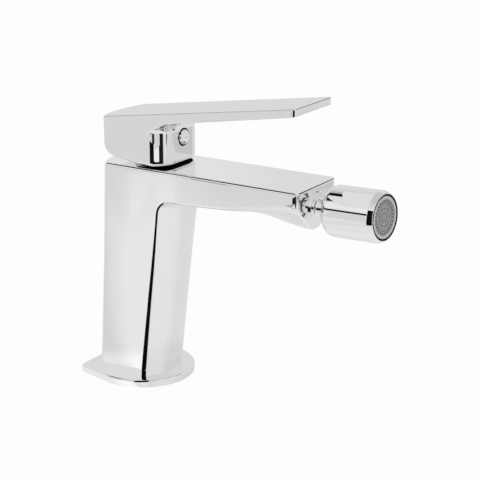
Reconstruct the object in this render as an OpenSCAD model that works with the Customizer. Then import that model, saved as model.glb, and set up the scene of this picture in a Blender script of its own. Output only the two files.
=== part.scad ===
// Single-lever bidet mixer: cast body on a base flange, cartridge under a slab lever,
// and a ball-jointed outlet with an aerator. Millimetres, +Z up, +X along the spout,
// origin on the deck at the centre of the tap hole.

/* [Body] */
// Height of the body's flat top above the deck
body_top_z = 130.6; // [124:0.2:140]
// Width of the body across its top
body_w = 42.6; // [40:0.2:50]
// Distance from the tap-hole centre to the spout's end face
spout_reach = 116.2; // [100:0.2:140]
// Draft of the column's two sides
side_taper = 0.4; // [0:0.1:1]
// Radius of the column's rounded back
back_r = 38; // [32:0.5:50]
// Distance from the tap-hole centre to the back of the column at its foot
back_foot = 24.4; // [22:0.2:25.5]
// Lean of the column's back
back_lean = 3.7; // [2:0.1:5]
// Radius of the column's rounded front
front_r = 29; // [27:0.5:40]
// Distance from the tap-hole centre to the front of the column at its foot
front_foot = 21; // [19:0.2:23]
// Lean of the column's front
front_lean = 6.1; // [4:0.1:8]
// Depth of the spout where it leaves the column
spout_depth = 18; // [16:0.2:22]
// Rise of the spout's underside towards its end
spout_rise = 3.1; // [1:0.1:4]
// Fillet between the column and the underside of the spout
root_r = 8; // [4:0.5:12]
// Radius of the rounded boss under the spout's end
boss_r = 12.3; // [11.5:0.1:14]
// Radius of the sweep that runs into that boss
boss_sweep_r = 71; // [50:1:100]
// Width of the cored passage in the spout
core_w = 26; // [18:0.5:30]
// Height of that passage
core_h = 8; // [6:0.2:9]
// Metal above that passage
core_cover = 4; // [3:0.1:4.4]
// Height of the upright sides of the spout's end face
end_side_h = 9; // [7:0.2:11]
// Length of the sloping flanks that narrow the spout's end to that boss
flank_run = 41.5; // [30:0.5:50]

/* [Base] */
// Thickness of the base flange
flange_t = 4.5; // [3.5:0.1:6]
// Radius of the flange's round front
flange_r = 29.6; // [28.5:0.1:34]
// Distance from the tap-hole centre to the flange's straight back
flange_back = 30; // [29:0.1:34]
// Width of the flange across its back
flange_back_w = 49; // [44:0.2:54]
// Rounding of the flange's back corners
flange_corner_r = 3; // [1:0.2:5]
// Diameter of the spigot that centres the flange
spigot_d = 33; // [31:0.2:34]
// Depth of the groove for the base seal
seal_groove_depth = 1.8; // [1.2:0.1:2.4]
// Width of the base seal
base_seal_w = 3; // [2:0.1:3.4]
// Distance of each inlet from the tap-hole centre
inlet_y = 9.5; // [9.2:0.1:10.5]
// Core diameter of the M10 x 1 inlets
inlet_d = 9; // [8.6:0.1:9.4]
// Depth of the inlet threads
inlet_depth = 12; // [8:0.5:16]
// Core diameter of the M8 fixing hole
fixing_d = 6.8; // [6.4:0.1:7]
// Depth of the fixing hole
fixing_depth = 16; // [12:0.5:24]
// Diameter of the cast waterways
waterway_d = 5.2; // [4:0.1:5.6]

/* [Cartridge] */
// Distance of the cartridge's axis from the tap-hole centre
cart_x = 3; // [1:0.2:4]
// Diameter of the cartridge
cart_d = 25; // [24.6:0.1:26]
// Depth of the cartridge seat below the body's top
cart_depth = 32.6; // [32:0.1:36]
// Thickness of the cartridge's foot
foot_t = 4; // [3:0.1:5]
// Thickness of the fixed ceramic disc
fixed_disc_t = 3; // [2:0.1:3.5]
// Thickness of the moving ceramic disc
moving_disc_t = 2.4; // [2:0.1:3]
// Diameter of the moving ceramic disc
moving_disc_d = 14; // [13:0.1:14.4]
// Depth of the lever's pivot below the body's top
pivot_depth = 8; // [7:0.1:9]
// Distance from the pivot to the spindle's ball end
spindle_drop = 12; // [11:0.1:12.6]
// Side of the spindle's square
spindle_w = 7.9; // [7:0.1:8.2]
// Diameter of the pivot pin
pin_d = 3; // [2.4:0.1:3.4]
// Outer diameter of the cartridge nut
nut_d = 28.1; // [27.5:0.1:30]
// Height of the cartridge nut
nut_h = 3.3; // [2.6:0.1:4]
// Thickness of the cover ring above the nut
cover_t = 1.4; // [1:0.1:2]

/* [Lever] */
// Width of the lever
lever_w = 39.2; // [36:0.2:42]
// Rise of the lever's top
lever_rise = 8.2; // [6:0.1:10]
// Height of the lever's top above the body's top, over the tap-hole centre
lever_top_h = 27.9; // [26:0.1:32]
// Distance from the tap-hole centre to the lever's tip
lever_reach = 113.2; // [95:0.2:125]
// Thickness of the lever at its root
lever_root_t = 6.7; // [5.5:0.1:8]
// Thickness of the lever at its tip
lever_tip_t = 4.4; // [3.5:0.1:5.5]
// Rounding of the lever's tip corners
tip_corner_r = 1.5; // [0.5:0.1:4]
// Gap between the lever block and the body's top
lever_gap = 1.2; // [1:0.1:2]
// Distance from the tap-hole centre to the front of the block
block_front = 30; // [27:0.2:34]
// Rounding of the block's front corners
block_corner_r = 6.5; // [4:0.1:8]
// Radius of the arch from the block to the lever's underside
arch_r = 10; // [7:0.1:12]
// Slope of the relief under the back of the block
relief_slope = 10; // [9.6:0.1:13]
// Distance from the tap-hole centre to the start of that relief
relief_start = 12; // [10:0.2:16]
// Rounding of the block's heel
heel_r = 7; // [6:0.1:8]
// Diameter of the index plug
index_d = 10; // [8:0.1:11]
// Thickness of the index plug
index_t = 3; // [2:0.1:3.6]
// Height of the index plug above the body's top
index_h = 15.6; // [14:0.1:16.4]
// Diameter of the grub screw
grub_d = 5; // [4:0.1:5.4]

/* [Swivel] */
// Distance of the ball's centre from the spout's end face
ball_out = 14.8; // [14.4:0.1:18]
// Depth of the outlet's axis below the body's top
outlet_depth = 12; // [11.6:0.1:13]
// Diameter of the ball
ball_d = 16; // [15.6:0.1:16.4]
// Diameter of the neck behind the ball
neck_d = 8.6; // [8:0.1:9]
// Diameter of the collar on the end face
collar_d = 17.6; // [17.2:0.1:20]
// Thickness of that collar
collar_t = 1.2; // [1:0.1:4]
// Diameter of the stem's thread
stem_thread_d = 13.9; // [13:0.1:14.2]
// Length of the stem's thread
stem_thread_l = 9.5; // [8:0.1:12]
// Bore of the stem
stem_bore_d = 5.5; // [4:0.1:6]
// Turn of the swivel to one side, as photographed
pan_rest = -4.7; // [-6:0.1:6]
// Upward tilt of the swivel, as photographed
tilt_rest = 2.9; // [-6:0.1:6]
// Thickness of the ball's liner
liner_t = 1.32; // [1:0.02:1.6]
// Outer diameter of the swivel housing
housing_d = 28; // [27.6:0.1:32]
// Length of the housing in front of the ball's centre
housing_front = 27; // [26:0.1:32]
// Length of the housing behind the ball's centre
housing_back = 6; // [5.6:0.1:6.2]
// Rounding of the housing's back edge
housing_round_r = 4.5; // [3:0.1:4.8]
// Bevel of the housing's front rim
rim_bevel = 0.9; // [0.4:0.1:1.1]
// Bore of the housing around the seat
housing_bore_d = 22.8; // [22.4:0.1:23.4]
// Outer diameter of the aerator's key ring
key_ring_d = 24.6; // [24.4:0.1:25.6]
// Depth of the key ring behind the rim
key_ring_inset = 0.1; // [0.1:0.1:1]
// Length of the key ring
key_ring_l = 6; // [4:0.1:7]
// Number of notches for the key in that ring
key_notches = 12; // [8:1:16]
// Number of slots in the aerator's face
grid_slots = 28; // [16:1:36]

/* [Clearances] */
// Running clearance of round pairs that turn
run_gap = 0.1; // [0.05:0.01:0.1]
// Clearance of pieces that are fitted and stay put
fit_gap = 0.05; // [0.02:0.01:0.1]

/* [Hidden] */
$fn = 64;
eps = 0.01;
arc_steps = 10;

// Colours of the finishes
chrome = "Gainsboro";
brass = "Goldenrod";
rubber = "DimGray";
black_plastic = "Black";
grey_plastic = "DarkGray";
white_plastic = "Ivory";
ceramic = "WhiteSmoke";
steel = "Silver";

// Derived body values
half_w = body_w / 2;
column_h = body_top_z - flange_t;
foot_half_w = half_w - column_h * tan(side_taper);
back_top_x = column_h * tan(back_lean) - back_foot;
under_start_x = front_foot + column_h * tan(front_lean) + root_r / 2;
under_z = body_top_z - spout_depth;
outlet_z = body_top_z - outlet_depth;
end_side_z = body_top_z - end_side_h;
flank_side = [half_w, end_side_z - outlet_z];
keel_inset = 0.4;
ball_x = spout_reach + ball_out;

// Derived base values
flange_c = [flange_back_w / 2 - flange_corner_r, flange_corner_r - flange_back];
tangent_a = atan2(flange_c[0], flange_c[1])
    - acos((flange_r - flange_corner_r) / norm(flange_c));
spigot_r = spigot_d / 2;
seal_land = 4;
base_seal_r = spigot_r + seal_land;

// Derived cartridge values
seat_z = body_top_z - cart_depth;
cart_r = cart_d / 2;
nut_r = nut_d / 2;
cover_bottom_z = body_top_z - cover_t;
nut_bottom_z = cover_bottom_z - nut_h;
foot_top_z = seat_z + foot_t;
fixed_top_z = foot_top_z + fixed_disc_t;
slide_gap = fit_gap;
moving_top_z = fixed_top_z + slide_gap + moving_disc_t;
pivot_z = body_top_z - pivot_depth;
ball_end_z = pivot_z - spindle_drop;
ball_end_r = 2.6;
driver_top_z = ball_end_z + 1;
carrier_bottom_z = driver_top_z + 3 * run_gap;
housing_neck_l = 7.9;
carrier_shoulder_z = nut_bottom_z - housing_neck_l;
tower_drop = 2.2;
tower_top_z = cover_bottom_z - tower_drop;
carrier_inset = 2.9;
carrier_r = cart_r - carrier_inset;
tower_r = 7.8;
skirt_wall = 1.3;
skirt_r = cart_r - skirt_wall;
driver_cut = 1;
driver_flat = moving_disc_d / 2 - driver_cut;
rail_t = 1.5;
slot_half_w = spindle_w / 2 + 1.5 * run_gap;
spindle_over = 1.3;
spindle_top_z = body_top_z + index_h + spindle_over;
port_y = 7.4;
port_x = -cart_x;
outlet_port_x = 6.5;
port_d = waterway_d;
gallery_drop = 8;
gallery_z = seat_z - gallery_drop;
riser_out = 7.45;
riser_x = cart_x + nut_r + riser_out;
core_bottom_z = body_top_z - core_cover - core_h;
core_stop = 6;
core_front_x = spout_reach - stem_thread_l - core_stop;
throat_d = stem_thread_d - 4;
stem_seal_t = 0.8;
stem_seal_d = collar_d - stem_seal_t;
nut_bore_r = cart_r - 2.1;
cover_bore_r = tower_r + 0.8;
port_bore_d = port_d - 0.6;
port_seal_d = port_d + 0.8;
port_seal_bore_d = port_d - 0.4;
port_seal_t = 1.4;
pocket_d = 0.65 * moving_disc_d;

// Derived lever values
lever_half_w = lever_w / 2;
block_bottom_z = body_top_z + lever_gap;
lever_slope = tan(lever_rise);
lever_top_z0 = body_top_z + lever_top_h;
under_slope = lever_slope + (lever_root_t - lever_tip_t) / lever_reach;
lever_under_z0 = lever_top_z0 - lever_root_t;
index_z = body_top_z + index_h;
block_side_x = block_front - block_corner_r;

// Derived swivel values
ball_r = ball_d / 2;
liner_in_r = ball_r + 0.8 * run_gap;
liner_out_r = liner_in_r + liner_t;
seat_cavity_r = liner_out_r + run_gap;
bore_r = housing_bore_d / 2;
housing_r = housing_d / 2;
seat_back = 1.5;
seat_front = 9;
seat_bore_d = 11;
seal_x = 0.6;
seal_section_r = 0.7;
seal_ring_r = seat_cavity_r + run_gap + seal_section_r;
cavity_start = seal_x - seal_section_r - 2 * run_gap;
clamp_l = 3;
clamp_front = seat_front + clamp_l;
clamp_bore_r = 7;
washer_t = 1.8;
washer_front = clamp_front + washer_t;
washer_bore_r = 8.5;
key_ring_front = housing_front - key_ring_inset;
key_ring_back = key_ring_front - key_ring_l;
key_ring_r = key_ring_d / 2;
aerator_r = bore_r - 2 * run_gap;
face_inset = 0.1;
aerator_front = key_ring_front - face_inset;
aerator_wall = 1.6;
grid_r = aerator_r - aerator_wall;
grid_t = 1.6;

function lever_top(x) = lever_top_z0 + lever_slope * x;
function lever_under(x) = lever_under_z0 + under_slope * x;
function spout_under(x) = under_z + (x - under_start_x) * tan(spout_rise);
function relief_z(x) = block_bottom_z + max(0, relief_start - x) * tan(relief_slope);

// Points of an arc about a centre, from one angle to another
function arc(centre, r, a0, a1) = [
    for (i = [0 : arc_steps])
        let (a = a0 + (a1 - a0) * i / arc_steps)
        centre + r * [cos(a), sin(a)]
];

// Crossing of two lines, each given by a unit normal and its distance along it
function crossing(n1, d1, n2, d2) =
    let (det = n1[0] * n2[1] - n1[1] * n2[0])
    [(d1 * n2[1] - d2 * n1[1]) / det, (n1[0] * d2 - n2[0] * d1) / det];

// Point where the tangent from a point meets the circle of the keel, both about the outlet's axis
function keel_touch(point) =
    let (a = atan2(point[1], point[0]) - acos(boss_r / norm(point)))
    boss_r * [cos(a), sin(a)];

// Turns a drawing in X and Z into a slab of the given width about the middle plane
module slab(width) {
    rotate([90, 0, 0])
        linear_extrude(width, center = true)
            children();
}

// A cylinder along +X that starts at the given place
module x_rod(place, d, length) {
    translate(place)
        rotate([0, 90, 0])
            cylinder(d = d, h = length);
}

// Places a piece on the ball's centre, turned to one side
module at_pan() {
    translate([ball_x, 0, outlet_z])
        rotate([0, 0, pan_rest])
            children();
}

// Places a piece on the ball's centre, turned and tilted as photographed
module at_swivel() {
    at_pan()
        rotate([0, -tilt_rest, 0])
            children();
}

// A tube along the swivel's axis between two distances from the ball's centre
module swivel_tube(outer_r, inner_r, from, to) {
    difference() {
        x_rod([from, 0, 0], 2 * outer_r, to - from);
        x_rod([from - eps, 0, 0], 2 * inner_r, to - from + 2 * eps);
    }
}

// Column of the body: two drafted sides, a rounded back and a rounded front that lean forward
module column() {
    over = 10;
    intersection() {
        translate([-back_foot - over, 0, 0])
            rotate([90, 0, 90])
                linear_extrude(back_foot + spout_reach / 2 + over)
                    polygon([
                        [-foot_half_w, flange_t],
                        [foot_half_w, flange_t],
                        [half_w, body_top_z],
                        [-half_w, body_top_z]
                    ]);
        translate([back_r - back_foot, 0, flange_t])
            rotate([0, back_lean, 0])
                translate([0, 0, -over])
                    cylinder(r = back_r, h = column_h + 2 * over);
        translate([front_foot - front_r, 0, flange_t])
            rotate([0, front_lean, 0])
                translate([0, 0, -over])
                    cylinder(r = front_r, h = column_h + 2 * over);
    }
}

// Side view of the spout, with the fillet that runs down the column's front corners
module spout_profile() {
    corner_x = front_foot - front_r + sqrt(front_r * front_r - half_w * half_w);
    front_n = [cos(front_lean), -sin(front_lean)];
    under_n = [sin(spout_rise), -cos(spout_rise)];
    front_d = front_n * [corner_x, flange_t];
    under_d = under_n * [under_start_x, under_z];
    centre = crossing(front_n, front_d + root_r, under_n, under_d + root_r);
    fillet = arc(centre, root_r, 90 + spout_rise, 180 - front_lean);
    inside_x = cart_x;
    polygon(concat(
        [
            [inside_x, body_top_z],
            [spout_reach, body_top_z],
            [spout_reach, spout_under(spout_reach)]
        ],
        fillet,
        [[inside_x, fillet[arc_steps][1]]]
    ));
}

// What the sloping flank on one side takes off the spout
module flank_cut(side) {
    foot = [spout_reach, side * half_w, end_side_z];
    round_touch = keel_touch(flank_side);
    touch = [spout_reach, side * round_touch[0], outlet_z + round_touch[1]];
    start_x = spout_reach - flank_run;
    start = [start_x, side * half_w, spout_under(start_x)];
    outward = side * cross(touch - foot, start - foot);
    cut = 4 * flank_run;
    translate(foot)
        rotate([0, acos(outward[2] / norm(outward)), atan2(outward[1], outward[0])])
            translate([-cut / 2, -cut / 2, 0])
                cube(cut);
}

// Cross-section of the keel: a round bottom whose tangents run up inside the flanks
module keel_section() {
    top = flank_side - [keel_inset, 0];
    touch = keel_touch(top);
    translate([0, outlet_z]) {
        circle(boss_r);
        polygon([
            [-touch[0], touch[1]],
            touch,
            top,
            [-top[0], top[1]]
        ]);
    }
}

// Keel under the spout's end, swept down to the full boss
module keel() {
    start_x = spout_reach - flank_run;
    keel_top = outlet_depth / 2;
    intersection() {
        translate([start_x, 0, 0])
            rotate([90, 0, 90])
                linear_extrude(flank_run)
                    keel_section();
        translate([spout_reach, 0, outlet_z - boss_r + boss_sweep_r])
            rotate([90, 0, 0])
                cylinder(r = boss_sweep_r, h = 2 * body_w, center = true);
        translate([start_x, -half_w, outlet_z - 2 * boss_r])
            cube([2 * flank_run, body_w, 2 * boss_r + keel_top]);
    }
}

// Outer shape of the spout
module spout() {
    difference() {
        slab(body_w)
            spout_profile();
        flank_cut(-1);
        flank_cut(1);
    }
    keel();
}

// Passages cast in the body: cartridge seat, inlets, outlet and fixing hole
module waterways() {
    translate([cart_x, 0, seat_z])
        cylinder(r = cart_r + fit_gap, h = cart_depth + 1);
    translate([cart_x, 0, nut_bottom_z])
        cylinder(r = nut_r + fit_gap, h = nut_h + cover_t + 1);
    translate([0, 0, -1])
        cylinder(d = fixing_d, h = fixing_depth + 1);
    for (side = [-1, 1]) {
        translate([0, side * inlet_y, -1])
            cylinder(d = inlet_d, h = inlet_depth + 1);
        translate([cart_x + port_x, side * port_y, inlet_depth - 1])
            cylinder(d = waterway_d, h = seat_z - inlet_depth + 2);
    }
    translate([cart_x + outlet_port_x, 0, gallery_z])
        cylinder(d = waterway_d, h = seat_z - gallery_z + 1);
    x_rod([cart_x + outlet_port_x, 0, gallery_z], waterway_d, riser_x - cart_x - outlet_port_x);
    translate([riser_x, 0, gallery_z])
        cylinder(d = waterway_d, h = core_bottom_z - gallery_z + 1);
    translate([riser_x - waterway_d / 2, -core_w / 2, core_bottom_z])
        cube([core_front_x - riser_x + waterway_d / 2, core_w, core_h]);
    socket_x = spout_reach - stem_thread_l - 0.5;
    x_rod([core_front_x - 2, 0, outlet_z], throat_d, stem_thread_l);
    x_rod([socket_x, 0, outlet_z], stem_thread_d + 2 * fit_gap, stem_thread_l + 1);
    x_rod([spout_reach - stem_seal_t, 0, outlet_z], stem_seal_d, stem_seal_t + 1);
}

module mixer_body() {
    color(chrome)
        difference() {
            union() {
                column();
                spout();
                cylinder(r = spigot_r, h = flange_t + 1);
            }
            waterways();
        }
}

// Plan of the flange: a round front whose tangents run to a straight back
module flange_plan() {
    n = [sin(tangent_a), cos(tangent_a)];
    side_front = flange_r * [n[1], n[0]];
    corner = [flange_c[1], flange_c[0]];
    side_back = corner + flange_corner_r * [n[1], n[0]];
    back = [-flange_back, corner[1]];
    circle(flange_r);
    polygon([
        side_front,
        side_back,
        corner,
        back,
        [back[0], -back[1]],
        [corner[0], -corner[1]],
        [side_back[0], -side_back[1]],
        [side_front[0], -side_front[1]]
    ]);
    for (side = [-1, 1])
        translate([corner[0], side * corner[1]])
            circle(flange_corner_r);
}

module base_flange() {
    color(chrome)
        difference() {
            linear_extrude(flange_t)
                flange_plan();
            translate([0, 0, -1])
                cylinder(r = spigot_r + fit_gap, h = flange_t + 2);
            translate([0, 0, -1])
                difference() {
                    cylinder(r = base_seal_r + base_seal_w + fit_gap, h = seal_groove_depth + 1);
                    translate([0, 0, -1])
                        cylinder(r = base_seal_r - fit_gap, h = seal_groove_depth + 3);
                }
        }
}

module base_seal() {
    color(rubber)
        difference() {
            cylinder(r = base_seal_r + base_seal_w, h = seal_groove_depth);
            translate([0, 0, -1])
                cylinder(r = base_seal_r, h = seal_groove_depth + 2);
        }
}

module cartridge_nut() {
    color(brass)
        translate([cart_x, 0, nut_bottom_z])
            difference() {
                cylinder(r = nut_r, h = nut_h);
                translate([0, 0, -1])
                    cylinder(r = nut_bore_r, h = nut_h + 2);
            }
}

module cover_ring() {
    color(chrome)
        translate([cart_x, 0, cover_bottom_z])
            difference() {
                cylinder(r = nut_r - fit_gap, h = cover_t);
                translate([0, 0, -1])
                    cylinder(r = cover_bore_r, h = cover_t + 2);
            }
}

module cartridge_housing() {
    color(white_plastic)
        translate([cart_x, 0, 0])
            difference() {
                translate([0, 0, seat_z])
                    cylinder(r = cart_r, h = nut_bottom_z - seat_z);
                translate([0, 0, seat_z - 1])
                    cylinder(r = skirt_r, h = carrier_bottom_z - run_gap - seat_z + 1);
                translate([0, 0, seat_z])
                    cylinder(r = carrier_r + run_gap, h = carrier_shoulder_z + run_gap - seat_z);
                translate([0, 0, seat_z])
                    cylinder(r = tower_r + run_gap, h = cart_depth);
            }
}

// The two inlet ports and the outlet port, about the cartridge's axis
module ports(d, h) {
    for (side = [-1, 1])
        translate([port_x, side * port_y, 0])
            cylinder(d = d, h = h);
    translate([outlet_port_x, 0, 0])
        cylinder(d = d, h = h);
}

module cartridge_foot() {
    color(white_plastic)
        translate([cart_x, 0, seat_z])
            difference() {
                cylinder(r = skirt_r - fit_gap, h = foot_t);
                translate([0, 0, -1])
                    ports(port_bore_d, foot_t + 2);
                translate([0, 0, -1])
                    ports(port_seal_d + 2 * fit_gap, port_seal_t + fit_gap + 1);
            }
}

module port_seals() {
    color(rubber)
        translate([cart_x, 0, seat_z])
            difference() {
                ports(port_seal_d, port_seal_t);
                translate([0, 0, -1])
                    ports(port_seal_bore_d, port_seal_t + 2);
            }
}

module fixed_ceramic_disc() {
    color(ceramic)
        translate([cart_x, 0, foot_top_z])
            difference() {
                cylinder(r = skirt_r - fit_gap, h = fixed_disc_t);
                translate([0, 0, -1])
                    ports(port_bore_d, fixed_disc_t + 2);
            }
}

module moving_ceramic_disc() {
    color(ceramic)
        translate([cart_x, 0, fixed_top_z + slide_gap])
            difference() {
                cylinder(d = moving_disc_d, h = moving_disc_t);
                translate([0, 0, -1])
                    cylinder(d = pocket_d, h = moving_disc_t / 2 + 1);
            }
}

module disc_driver() {
    driver_h = driver_top_z - moving_top_z;
    color(white_plastic)
        translate([cart_x, 0, moving_top_z])
            difference() {
                intersection() {
                    cylinder(d = moving_disc_d, h = driver_h);
                    translate([-moving_disc_d, -driver_flat, -1])
                        cube([2 * moving_disc_d, 2 * driver_flat, driver_h + 2]);
                }
                translate([0, 0, ball_end_z - ball_end_r - run_gap - moving_top_z])
                    cylinder(r = ball_end_r + 2 * run_gap, h = driver_h);
            }
}

module cartridge_carrier() {
    rail_y = driver_flat + run_gap;
    rail_h = 2.6;
    rail_l = 10;
    slot_back = 5;
    slot_front = 8.2;
    slot_w = 2 * slot_half_w;
    shoulder_h = carrier_shoulder_z - carrier_bottom_z;
    color(white_plastic)
        translate([cart_x, 0, 0])
            difference() {
                union() {
                    translate([0, 0, carrier_bottom_z])
                        cylinder(r = carrier_r, h = shoulder_h);
                    translate([0, 0, carrier_bottom_z])
                        cylinder(r = tower_r, h = tower_top_z - carrier_bottom_z);
                    for (side = [-1, 1])
                        translate([0, side * (rail_y + rail_t / 2), carrier_bottom_z + 1 - rail_h / 2])
                            cube([rail_l, rail_t, rail_h + 2], center = true);
                }
                translate([-slot_back, -slot_half_w, carrier_bottom_z - 1])
                    cube([slot_back + slot_front, slot_w, shoulder_h + 1]);
                translate([-2 * tower_r, -slot_half_w, carrier_shoulder_z - eps])
                    cube([2 * tower_r + slot_back + 1, slot_w, tower_top_z]);
                translate([0, 0, pivot_z])
                    rotate([90, 0, 0])
                        cylinder(d = pin_d + 2 * fit_gap, h = 4 * tower_r, center = true);
            }
}

module pivot_pin() {
    pin_l = 2 * sqrt(tower_r * tower_r - pin_d * pin_d);
    color(steel)
        translate([cart_x, 0, pivot_z])
            rotate([90, 0, 0])
                cylinder(d = pin_d, h = pin_l, center = true);
}

module cartridge_spindle() {
    square_z = pivot_z - pin_d;
    shank_d = 4;
    color(brass)
        translate([cart_x, 0, 0])
            difference() {
                union() {
                    translate([-spindle_w / 2, -spindle_w / 2, square_z])
                        cube([spindle_w, spindle_w, spindle_top_z - square_z]);
                    translate([0, 0, ball_end_z])
                        cylinder(d = shank_d, h = square_z - ball_end_z + 1);
                    translate([0, 0, ball_end_z])
                        sphere(r = ball_end_r);
                }
                translate([0, 0, pivot_z])
                    rotate([90, 0, 0])
                        cylinder(d = pin_d + 2 * run_gap, h = 2 * spindle_w, center = true);
            }
}

// Plan of the lever and its block: a round back like the body's, and straight sides
module lever_plan(front_x, corner_r) {
    back_x = back_top_x;
    intersection() {
        translate([back_x + back_r, 0])
            circle(back_r);
        translate([back_x - 1, -lever_half_w])
            square([back_r, lever_w]);
    }
    middle_x = back_x + back_r / 2;
    translate([middle_x, -lever_half_w])
        square([front_x - corner_r - middle_x, lever_w]);
    translate([middle_x, corner_r - lever_half_w])
        square([front_x - middle_x, lever_w - 2 * corner_r]);
    for (side = [-1, 1])
        translate([front_x - corner_r, side * (lever_half_w - corner_r)])
            circle(corner_r);
}

// Side view of the block: relief and rounded heel behind, arch to the lever in front
module block_profile(front_x, with_arch) {
    heel_x = back_top_x + heel_r;
    heel_z = relief_z(heel_x) + heel_r / cos(relief_slope);
    heel = [heel_x, heel_z];
    heel_arc = arc(heel, heel_r, 180, 270 - relief_slope);
    under_a = atan(under_slope);
    arch_x = front_x + arch_r;
    arch_c = [arch_x, lever_under(arch_x) - arch_r / cos(under_a)];
    plain_front = [[front_x, lever_under(front_x)]];
    arch_pts = with_arch ? arc(arch_c, arch_r, 180, 90 + under_a) : plain_front;
    polygon(concat(
        [[back_top_x, lever_top(back_top_x) - lever_root_t / 2]],
        heel_arc,
        [[relief_start, block_bottom_z], [front_x, block_bottom_z]],
        arch_pts,
        [[arch_pts[len(arch_pts) - 1][0], lever_top(front_x) - lever_root_t / 2]]
    ));
}

// The lever's slab, thinner towards its tip
module lever_blade() {
    intersection() {
        slab(lever_w + 2)
            polygon([
                [back_top_x - 1, lever_top(back_top_x - 1)],
                [lever_reach + 1, lever_top(lever_reach + 1)],
                [lever_reach + 1, lever_under(lever_reach + 1)],
                [back_top_x - 1, lever_under(back_top_x - 1)]
            ]);
        translate([0, 0, body_top_z])
            linear_extrude(3 * lever_top_h)
                lever_plan(lever_reach, tip_corner_r);
    }
}

// The block under the lever's root, with its rounded front corners
module lever_block() {
    intersection() {
        slab(lever_w)
            block_profile(block_side_x, true);
        translate([0, 0, body_top_z])
            linear_extrude(2 * lever_top_h)
                lever_plan(lever_reach, tip_corner_r);
    }
    intersection() {
        slab(lever_w)
            block_profile(block_front, false);
        translate([0, 0, body_top_z])
            linear_extrude(2 * lever_top_h)
                lever_plan(block_front, block_corner_r);
    }
}

module lever_handle() {
    socket_w = spindle_w + 2 * fit_gap;
    color(chrome)
        difference() {
            union() {
                lever_blade();
                lever_block();
            }
            translate([cart_x - socket_w / 2, -socket_w / 2, body_top_z])
                cube([socket_w, socket_w, spindle_top_z + fit_gap - body_top_z]);
            x_rod([block_front - index_t, 0, index_z], index_d + 2 * fit_gap, index_t + 1);
            x_rod([cart_x, 0, index_z], grub_d + 2 * fit_gap, block_front - cart_x);
        }
}

module grub_screw() {
    grub_x = cart_x + spindle_w / 2;
    grub_l = 12;
    key_w = 2.5;
    key_depth = 3;
    color(steel)
        difference() {
            x_rod([grub_x, 0, index_z], grub_d, grub_l);
            translate([grub_x + grub_l - key_depth, 0, index_z])
                rotate([0, 90, 0])
                    cylinder(d = key_w / cos(30), h = key_depth + 1, $fn = 6);
        }
}

module index_plug() {
    dish_r = 1.6 * index_d;
    dish_depth = 0.5;
    color(grey_plastic)
        difference() {
            x_rod([block_front - index_t, 0, index_z], index_d, index_t);
            translate([block_front + dish_r - dish_depth, 0, index_z])
                sphere(r = dish_r);
        }
}

module swivel_stem() {
    bore_l = stem_thread_l + ball_out + ball_r + 2;
    color(chrome)
        difference() {
            union() {
                x_rod([spout_reach - stem_thread_l, 0, outlet_z], stem_thread_d, stem_thread_l + 1);
                x_rod([spout_reach, 0, outlet_z], collar_d, collar_t);
                x_rod([spout_reach, 0, outlet_z], neck_d, ball_out);
                translate([ball_x, 0, outlet_z])
                    sphere(r = ball_r);
            }
            x_rod([spout_reach - stem_thread_l - 1, 0, outlet_z], stem_bore_d, bore_l);
        }
}

module stem_seal() {
    color(rubber)
        difference() {
            x_rod([spout_reach - stem_seal_t, 0, outlet_z], stem_seal_d - 2 * fit_gap, stem_seal_t);
            x_rod([spout_reach - stem_seal_t - 1, 0, outlet_z], stem_thread_d + 2 * fit_gap, stem_seal_t + 2);
        }
}

module ball_liner() {
    liner_back = 4.8;
    liner_front = 5.2;
    color(white_plastic)
        at_pan()
            rotate([0, 90, 0])
                rotate_extrude()
                    intersection() {
                        difference() {
                            circle(liner_out_r);
                            circle(liner_in_r);
                        }
                        translate([0, -liner_back])
                            square([2 * liner_out_r, liner_back + liner_front]);
                    }
}

module seat_ring() {
    color(white_plastic)
        at_swivel()
            difference() {
                x_rod([seat_back, 0, 0], 2 * (bore_r - run_gap), seat_front - seat_back);
                sphere(r = seat_cavity_r);
                x_rod([0, 0, 0], seat_bore_d, seat_front + 1);
            }
}

module ball_seal() {
    color(rubber)
        at_swivel()
            translate([seal_x, 0, 0])
                rotate([0, 90, 0])
                    rotate_extrude()
                        translate([seal_ring_r, 0])
                            circle(seal_section_r);
}

// Half profile of the housing's outside: rounded back, straight wall and bevelled rim
module housing_outline() {
    round_c = [housing_r - housing_round_r, housing_round_r - housing_back];
    polygon(concat(
        [[0, -housing_back]],
        arc(round_c, housing_round_r, -90, 0),
        [
            [housing_r, housing_front - rim_bevel],
            [housing_r - rim_bevel, housing_front],
            [0, housing_front]
        ]
    ));
}

module swivel_housing() {
    color(chrome)
        at_swivel()
            difference() {
                rotate([0, 90, 0])
                    rotate_extrude()
                        housing_outline();
                sphere(r = seat_cavity_r);
                x_rod([cavity_start, 0, 0], housing_bore_d, housing_front);
                x_rod([key_ring_back, 0, 0], key_ring_d + 2 * fit_gap, housing_front);
            }
}

module clamp_ring() {
    color(brass)
        at_swivel()
            swivel_tube(bore_r - fit_gap, clamp_bore_r, seat_front + fit_gap, clamp_front);
}

module aerator_washer() {
    color(rubber)
        at_swivel()
            swivel_tube(bore_r - 2 * fit_gap, washer_bore_r, clamp_front, washer_front);
}

module aerator_body() {
    ledge_w = 1;
    color(grey_plastic)
        at_swivel()
            difference() {
                x_rod([washer_front, 0, 0], 2 * aerator_r, aerator_front - washer_front);
                x_rod([washer_front - 1, 0, 0], 2 * (grid_r - ledge_w), aerator_front);
                x_rod([aerator_front - grid_t, 0, 0], 2 * grid_r + 2 * fit_gap, grid_t + 1);
            }
}

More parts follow.
